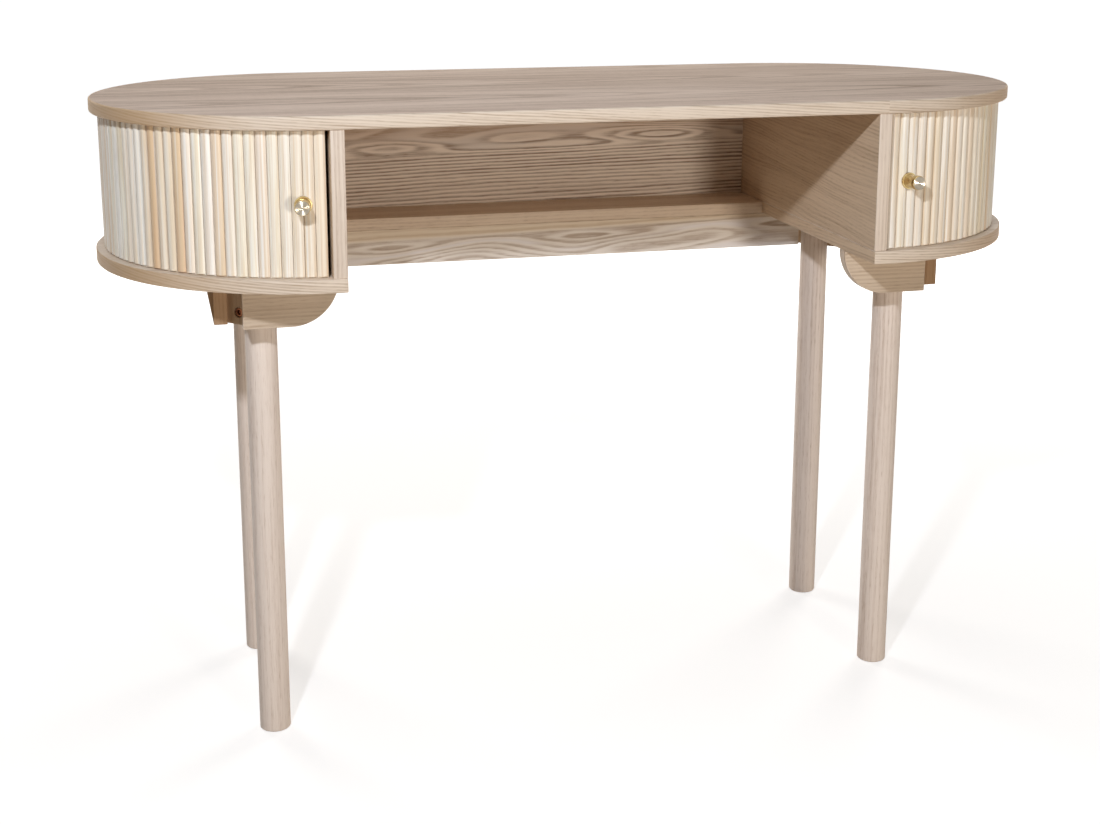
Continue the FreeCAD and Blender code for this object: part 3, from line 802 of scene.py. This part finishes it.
# Back shells: thin plywood bent round the rear of each pod, let into grooves above and below.
# The open door slides in behind them.
SHELL_EASE = 0.0003
SHELL_ANGLES = (101.15, 178.79)
SHELL_STEPS = 64
shell_oak = oak(
    "bent shell oak", veneer, colour(218, 199, 177), colour(172, 144, 117),
    spacing=0.005, wander=0.7, heart=(0.66, 1300.0, 0.14), cloud=0.35,
)
for number, (hand, sign) in enumerate(SIDES):
    low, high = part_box(hand + "_back_shell")
    outline = ring_outline(*SHELL_RADII, *SHELL_ANGLES, SHELL_STEPS, sign)
    shell = board(
        hand + "_bent_shell", outline, lying, low.z, high.z, SHELL_EASE, edge_oak, shell_oak,
        leaf=0.83 + 0.27 * number,
    )
    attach(shell, "carcass")
    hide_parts(hand + "_back_shell")

# Tambour slats: 36 narrow strips of pale wood to a door, crowned on the face, each with a tone of its own.
# A tongue at each end runs in the curved groove. A node tree lays copies of one slat round the arc.
SLATS = 36
DOOR_START = 2.147
DOOR_SPAN = 106.0
SLAT_HALF = math.radians(1.424)
CROWN_RADIUS = 0.2402
SHOULDER_RADIUS = 0.2372
SLAT_BACK = 0.2322
TONGUE_LENGTH = 0.0072
CROWN_STEPS = 14
CROWN_FULLNESS = 2.6
VALLEY_SHADE_START = 0.0052
VALLEY_SHADE_FULL = 0.0059
TONE_SEEDS = {"left": 345, "right": 190}


def one_slat():
    """A slat at the front of the arc, about the arc's own centre."""
    points = []
    numbers = {}
    faces = []

    def spot(radius, turn, level):
        return (radius * math.sin(turn), -radius * math.cos(turn), level)

    def add(corners):
        face = []
        for corner in corners:
            key = tuple(round(part, 7) for part in corner)
            if key not in numbers:
                numbers[key] = len(points)
                points.append(corner)
            face.append(numbers[key])
        faces.append(face)

    def upright(radius, turn, lower, upper):
        """A face across the slat; the turn is below zero where it looks out."""
        add([spot(radius, turn, lower), spot(radius, -turn, lower),
             spot(radius, -turn, upper), spot(radius, turn, upper)])

    def flat(inner, outer, level):
        return [spot(inner, -SLAT_HALF, level), spot(outer, -SLAT_HALF, level),
                spot(outer, SLAT_HALF, level), spot(inner, SLAT_HALF, level)]

    shoulder = Vector(spot(SHOULDER_RADIUS, SLAT_HALF, 0))
    rise = CROWN_RADIUS + shoulder.y
    crown = []
    for step in range(CROWN_STEPS + 1):
        aside = math.sin(math.pi * (step / CROWN_STEPS - 0.5))
        crown.append((shoulder.x * aside, shoulder.y - rise * (1 - abs(aside) ** CROWN_FULLNESS)))
    low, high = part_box("left_tambour_slats")
    foot, head = low.z + TONGUE_LENGTH, high.z - TONGUE_LENGTH
    for first, second in zip(crown, crown[1:]):
        add([(*first, foot), (*second, foot), (*second, head), (*first, head)])
    upright(SLAT_BACK, SLAT_HALF, foot, head)
    tongue_back, tongue_front = TONGUE_RADII
    sides = (SLAT_BACK, tongue_back, tongue_front, SHOULDER_RADIUS)
    levels = (low.z, foot, head, high.z)
    for turn in (-SLAT_HALF, SLAT_HALF):
        for inner, outer in zip(sides, sides[1:]):
            for lower, upper in (zip(levels, levels[1:]) if inner == tongue_back else ((foot, head),)):
                corners = [spot(inner, turn, lower), spot(outer, turn, lower),
                           spot(outer, turn, upper), spot(inner, turn, upper)]
                add(corners if turn < 0 else corners[::-1])
    for level, tip in ((foot, low.z), (head, high.z)):
        front = [spot(tongue_front, SLAT_HALF, level), spot(tongue_front, -SLAT_HALF, level)]
        front += [(*point, level) for point in crown]
        for corners in (flat(SLAT_BACK, tongue_back, level), front, flat(tongue_back, tongue_front, tip)):
            add(corners if tip > level else corners[::-1])
        lower, upper = sorted((level, tip))
        upright(tongue_front, -SLAT_HALF, lower, upper)
        upright(tongue_back, SLAT_HALF, lower, upper)
    smooth = [number < CROWN_STEPS for number in range(len(faces))]
    grain = [(points[number][2], points[number][0]) for face in faces for number in face]
    return points, faces, smooth, grain


def slat_wood():
    """Pale wood with a tone of its own for every slat, long streaks, brown hair lines and painted shade at
    the joints between slats.
    """
    finish = Finish("slat wood")
    tone = finish.node("ShaderNodeAttribute", {"attribute_name": "slat_tone"}, output="Fac")
    along = finish.node("ShaderNodeSeparateXYZ", None, {0: veneer(finish)}, output=0)
    across = finish.node("ShaderNodeSeparateXYZ", None, {0: veneer(finish)}, output=1)
    place = finish.node("ShaderNodeCombineXYZ", None, {0: along, 1: across, 2: tone * 9.0})
    own = finish.node("ShaderNodeValToRGB", {"stops": [
        (0.0, colour(251, 246, 228)),
        (0.14, colour(249, 236, 222)),
        (0.30, colour(252, 247, 230)),
        (0.48, colour(253, 249, 242)),
        (0.66, colour(250, 241, 224)),
        (0.80, colour(245, 228, 206)),
        (0.91, colour(238, 212, 182)),
        (1.0, colour(226, 190, 150)),
    ]}, {0: tone})
    streaks = finish.noise(place, (3.0, 420.0, 300.0), 2.0)
    hairs = finish.noise(place, (14.0, 1500.0, 300.0), 2.0)
    warm = finish.noise(place, (5.0, 150.0, 300.0), 1.5)
    pale = finish.noise(place, (3.0, 320.0, 500.0), 1.5)
    tint = finish.blend(pale.rise(0.50, 0.66) * 0.8, own, colour(254, 251, 244))
    tint = finish.blend(warm.rise(0.48, 0.66) * 0.55, tint, colour(228, 207, 173))
    tint = finish.blend(streaks.rise(0.48, 0.64) * 0.45, tint, colour(232, 209, 180))
    tint = finish.blend(hairs.rise(0.54, 0.72) * 0.35, tint, colour(200, 170, 136))
    # Painted shade: each slat turns brown towards its long edges, where the valleys between slats lie.
    valley_shade = (across * across).rise(VALLEY_SHADE_START ** 2, VALLEY_SHADE_FULL ** 2)
    tint = finish.blend(valley_shade * 0.2, tint, colour(158, 116, 80))
    return finish.surface({
        "Base Color": tint,
        "Roughness": 0.38 + (hairs - 0.5) * 0.3,
        "Specular IOR Level": 0.4,
        "Normal": finish.bump(hairs * 0.6 + streaks * 0.6, 0.15, 0.0004),
    })


slat_finish = slat_wood()
slat_run = Run("slats round the arc", [
    ("Slats", "Int"), ("Slat angle", "Float"), ("First edge", "Float"), ("Arc centre", "Vector"),
    ("Seed", "Int"), ("Wood", "Material"),
])
number = slat_run.node("GeometryNodeInputIndex")
bearing = (number + 0.5) * slat_run.given("Slat angle") + slat_run.given("First edge")
copies = slat_run.copies(slat_run.given("Slats"), slat_run.given("Arc centre"), bearing)
tone = slat_run.node("FunctionNodeRandomValue", {"data_type": "FLOAT"}, {
    2: 0.0, 3: 1.0, "ID": number, "Seed": slat_run.given("Seed"),
}, output=1)
for_each_slat = {"data_type": "FLOAT", "domain": "INSTANCE"}
toned = slat_run.node("GeometryNodeStoreNamedAttribute", for_each_slat, {
    "Geometry": copies, "Name": "slat_tone", "Value": tone,
})
slat_run.end(toned, slat_run.given("Wood"))

for hand, sign in SIDES:
    points, faces, smooth, grain = one_slat()
    slats = make_piece(hand + "_slat_run", points, faces, [slat_finish], smooth, grain=grain)
    slat_run.lay(slats, {
        "Slats": SLATS, "Slat angle": sign * math.radians(DOOR_SPAN / SLATS),
        "First edge": sign * math.radians(DOOR_START),
        "Arc centre": (sign * ARC_X, 0.0, 0.0), "Seed": TONE_SEEDS[hand], "Wood": slat_finish,
    })
    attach(slats, hand + "_door")
    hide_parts(hand + "_tambour_slats")

# Canvas: a sheet of unbleached plain weave for each door, cut a little shorter than the slats.
# It is glued to their backs and holds them together.
CANVAS_RADII = (0.23128, 0.23208)
CANVAS_ANGLES = (DOOR_START, DOOR_START + DOOR_SPAN)
CANVAS_EASE = 0.0001
CANVAS_STEPS = 72
THREAD_SPACING = 0.0011


def canvas_cloth():
    """Unbleached plain weave, from the arc run and the height that the sheet's map holds."""
    finish = Finish("unbleached canvas")
    place = veneer(finish)
    along = finish.node("ShaderNodeSeparateXYZ", None, {0: place}, output=0)
    across = finish.node("ShaderNodeSeparateXYZ", None, {0: place}, output=1)
    warp = (along * (math.tau / THREAD_SPACING)).sine()
    weft = (across * (math.tau / THREAD_SPACING)).sine()
    over = warp * weft
    slub = finish.noise(place, (60.0, 900.0, 1.0), 2.0)
    tint = finish.blend(over.rise(-0.8, 0.9), colour(196, 182, 156), colour(232, 222, 200))
    tint = finish.blend(slub.rise(0.5, 0.75) * 0.4, tint, colour(210, 196, 170))
    return finish.surface({
        "Base Color": tint,
        "Roughness": 0.86 + (slub - 0.5) * 0.2,
        "Specular IOR Level": 0.2,
        "Normal": finish.bump(over * 0.5 + slub * 0.4, 0.35, 0.0003),
    })


canvas_finish = canvas_cloth()
for number, (hand, sign) in enumerate(SIDES):
    low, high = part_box(hand + "_canvas")
    outline = ring_outline(*CANVAS_RADII, *CANVAS_ANGLES, CANVAS_STEPS, sign)
    cloth = board(
        hand + "_backing_cloth", outline, lying, low.z, high.z, CANVAS_EASE, canvas_finish, canvas_finish,
        leaf=0.1 * number,
    )
    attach(cloth, hand + "_door")
    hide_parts(hand + "_canvas")
    flat_width = math.radians(CANVAS_ANGLES[1] - CANVAS_ANGLES[0]) * sum(CANVAS_RADII) / 2

# Knobs: turned brass with a thin base, a waisted neck and a flat head whose face keeps the lathe's rings.
# Each sits on the joint of two slats near the lead edge, held by a screw and a washer from inside.
# The profiles of base, neck and head are pairs of radius and reach from the seat.
KNOB_ANGLE = 8.0362
KNOB_SEAT = 0.24017
KNOB_SEGMENTS = 72
KNOB_LENGTH = 0.022
FACE_RADIUS = 0.0072
FACE_RINGS = 12
RING_STEPS = 4
RING_DEPTH = 0.0001
BASE = [(0.0092, 0), (0.0095, 0.0003), (0.0095, 0.0021), (0.0093, 0.0024), (0.0088, 0.0025)]
NECK = [(0.0082, 0.0026), (0.00766, 0.0045), (0.00728, 0.0075), (0.0072, 0.0092), (0.00734, 0.0115),
        (0.00785, 0.0142), (0.00822, 0.0158)]
HEAD = [(0.00825, 0.0161), (0.00825, 0.0208), (0.0081, 0.0213), (0.0077, 0.0218)]

brass = metal("turned brass", colour(208, 188, 138), colour(178, 148, 98), 0.22)
# The face takes a greyer, darker copy of the same brass: a painted reflection of the pale room that the face
# mirrors.
reflection_face_brass = metal("faced brass", colour(170, 160, 144), colour(152, 142, 124), 0.2)
knob_profile = [(0, 0), *BASE, *NECK, *HEAD, (FACE_RADIUS, KNOB_LENGTH)]
face_steps = FACE_RINGS * RING_STEPS
for step in range(face_steps - 1, 0, -1):
    dip = RING_DEPTH * (1 - math.cos(math.tau * step / RING_STEPS)) / 2
    knob_profile.append((FACE_RADIUS * step / face_steps, KNOB_LENGTH - dip))
knob_profile.append((0, KNOB_LENGTH))
for hand, sign in SIDES:
    low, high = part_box(hand + "_knob")
    bearing = math.radians(KNOB_ANGLE)
    axis = Vector((sign * math.sin(bearing), -math.cos(bearing), 0))
    seat = Vector((sign * ARC_X, 0, (low.z + high.z) / 2)) + axis * KNOB_SEAT
    knob = turned(hand + "_brass_pull", knob_profile, seat, axis, brass, KNOB_SEGMENTS)
    knob.data.materials.append(reflection_face_brass)
    for facet in knob.data.polygons:
        facet.material_index = int((facet.center - seat).dot(axis) > KNOB_LENGTH - RING_DEPTH * 2)
    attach(knob, hand + "_door")
    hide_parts(hand + "_knob")

# Knob screws and washers: small plated steel fixings that draw each knob down on its slats.
# They are put in from behind the canvas and are seen only from inside an open pod.
plated_steel = metal("plated steel", colour(214, 212, 206), colour(160, 156, 150), 0.3)
for hand in HANDS:
    for fixing in ("_knob_screw", "_knob_washer"):
        dress(hand + fixing, plated_steel)

# Top: one long board with half-round ends, limed oak veneer on both faces and a pale band round the edge.
# Its under face carries the same grooves as the pod bottoms.
TOP_EASE = 0.002
top_oak = oak(
    "desk top oak", veneer, colour(236, 217, 202), colour(155, 129, 108),
    spacing=0.005, line=0.42, wander=0.9, heart=(0.0, 1300.0, 0.16), cloud=0.5, fibre=0.5,
    leaf_width=0.167, sheen=0.0,
)
low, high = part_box("desk_top")
outline = [on_arc(END_RADIUS, 180 * step / END_STEPS) for step in range(END_STEPS + 1)]
outline += [Vector((-spot.x, spot.y)) for spot in reversed(outline)]
top = board("writing_top", outline, lying, low.z, high.z, TOP_EASE, top_oak, edge_oak, leaf=0.19)
for hand, sign in SIDES:
    cut_pod_grooves(top, sign, low.z, 1, pod_oak)
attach(top, "carcass")
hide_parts("desk_top")

# Dowels and threaded inserts: beech pins glued into the joints of the boards, and plated steel sleeves
# screwed into the legs for their bolts. They are hidden when the desk stands.
dowel_beech = oak(
    "dowel beech", solid_wood, colour(226, 196, 160), colour(190, 154, 116),
    spacing=0.003, line=0.2, wander=0.3,
)
for name in ("divider_dowels", "shelf_dowels", "back_panel_dowels", "rail_dowels"):
    dress(name, dowel_beech)
dress("leg_inserts", plated_steel)

# Floor: a plain pale sheet that the desk stands on, white to the camera but still holding a soft shadow.
# The light that it throws back up under the desk is a little warm.
FLOOR_REACH = 30.0
NEAR_GLOW = 0.62
FAR_GLOW = 1.0
GLOW_START = 0.9
GLOW_FULL = 3.5
BOUNCE = (0.55, 0.48, 0.40, 1)
PALE_GREY = (0.62, 0.61, 0.60, 1)
WHITE = (1, 1, 1, 1)


def seen_ray(finish):
    """1 where the camera or a reflection looks, 0 for light that bounces."""
    camera = finish.node("ShaderNodeLightPath", output="Is Camera Ray")
    glossy = finish.node("ShaderNodeLightPath", output="Is Glossy Ray")
    through = finish.node("ShaderNodeLightPath", output="Is Transmission Ray")
    return camera.greater_of(glossy).greater_of(through)


floor_finish = Finish("pale floor")
warm = floor_finish.node("ShaderNodeBsdfDiffuse", None, {"Color": BOUNCE})
matt = floor_finish.node("ShaderNodeBsdfDiffuse", None, {"Color": PALE_GREY})
floor_place = floor_finish.node("ShaderNodeTexCoord", output="Object")
away = floor_finish.node("ShaderNodeVectorMath", {"operation": "LENGTH"}, {0: floor_place}, output="Value")
brightness = NEAR_GLOW + away.rise(GLOW_START, GLOW_FULL) * (FAR_GLOW - NEAR_GLOW)
glow = floor_finish.node("ShaderNodeEmission", None, {"Color": WHITE, "Strength": brightness})
white = floor_finish.node("ShaderNodeAddShader", None, {0: matt, 1: glow})
shown = floor_finish.node("ShaderNodeMixShader", None, {0: seen_ray(floor_finish), 1: warm, 2: white})
floor_finish.node("ShaderNodeOutputMaterial", None, {"Surface": shown})
corners = [(a * FLOOR_REACH, b * FLOOR_REACH, 0) for a, b in ((-1, -1), (1, -1), (1, 1), (-1, 1))]
floor = make_piece("floor", corners, [(0, 1, 2, 3)], [floor_finish.material], [False])
floor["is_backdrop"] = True

# Light: an even room that looks white and glows a little warm, and a small key from the front left.
# A low soft fill stands to the right, one lamp overhead, and one off each rear corner for back and ends.
ROOM_LIGHT = 0.06
ROOM_WARMTH = (1.0, 0.82, 0.66, 1)
world = bpy.data.worlds.new("white room")
bpy.context.scene.world = world
world.use_nodes = True
room = Nodes(world.node_tree)
even = room.node("ShaderNodeBackground", None, {"Color": ROOM_WARMTH, "Strength": ROOM_LIGHT})
white = room.node("ShaderNodeBackground", None, {"Color": WHITE, "Strength": 1.0})
shown = room.node("ShaderNodeMixShader", None, {0: seen_ray(room), 1: even, 2: white})
room.node("ShaderNodeOutputWorld", None, {"Surface": shown})


def soft_lamp(name, place, aim, size, power, tint):
    lamp = bpy.data.lights.new(name, "AREA")
    lamp.shape = "DISK"
    lamp.size = size
    lamp.energy = power
    lamp.color = tint
    stand = bpy.data.objects.new(name, lamp)
    bpy.context.scene.collection.objects.link(stand)
    stand.location = place
    stand.rotation_euler = (Vector(aim) - Vector(place)).to_track_quat("-Z", "Y").to_euler()
    return stand


soft_lamp(
    "key", place=(-0.82, -1.65, 1.58), aim=(0.05, 0.0, 0.62), size=0.10, power=18.6, tint=(0.98, 1.04, 1.13),
)
soft_lamp(
    "fill", place=(0.70, -3.2, 0.59), aim=(0.0, 0.0, 0.60), size=0.34, power=30.0, tint=(1.0, 0.91, 0.80),
)
soft_lamp(
    "overhead", place=(0.0, 0.1, 2.5), aim=(0.0, 0.1, 0.0), size=1.3, power=9.0, tint=(1.0, 0.99, 0.97),
)
for place in ((-1.6, 3.0, 1.3), (2.4, 2.4, 1.3)):
    rear = soft_lamp("rear corner", place, aim=(0.0, 0.1, 0.5), size=1.6, power=54.0, tint=(1.0, 0.98, 0.95))
    rear.visible_glossy = False

# Camera: left of the middle and above the top, as in the photograph, looking a little down.
# Part of the photograph's lens shift is kept, no more than leaves the whole desk in view from every side.
CAMERA_PLACE = (-0.508, -1.937, 0.938)
YAW = math.radians(14.187)
PITCH = math.radians(12.403)
ROLL = math.radians(0.067)
SENSOR_WIDTH = 36.0
LENS = 53.771
LENS_SHIFT = -0.12
camera_data = bpy.data.cameras.new("camera")
camera_data.sensor_fit = "HORIZONTAL"
camera_data.sensor_width = SENSOR_WIDTH
camera_data.lens = LENS
camera_data.shift_y = LENS_SHIFT
camera = bpy.data.objects.new("camera", camera_data)
bpy.context.scene.collection.objects.link(camera)
forward = Vector((math.sin(YAW) * math.cos(PITCH), math.cos(YAW) * math.cos(PITCH), -math.sin(PITCH)))
level = Vector((math.cos(YAW), -math.sin(YAW), 0))
plumb = level.cross(forward)
right = level * math.cos(ROLL) + plumb * math.sin(ROLL)
upward = plumb * math.cos(ROLL) - level * math.sin(ROLL)
turned_to = Matrix((right, upward, -forward)).transposed().to_4x4()
camera.matrix_world = Matrix.Translation(CAMERA_PLACE) @ turned_to
bpy.context.scene.camera = camera
bpy.context.scene.view_settings.view_transform = "Standard"

# Size: the box of the dressed desk, without the floor and the hidden solids.
low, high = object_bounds()
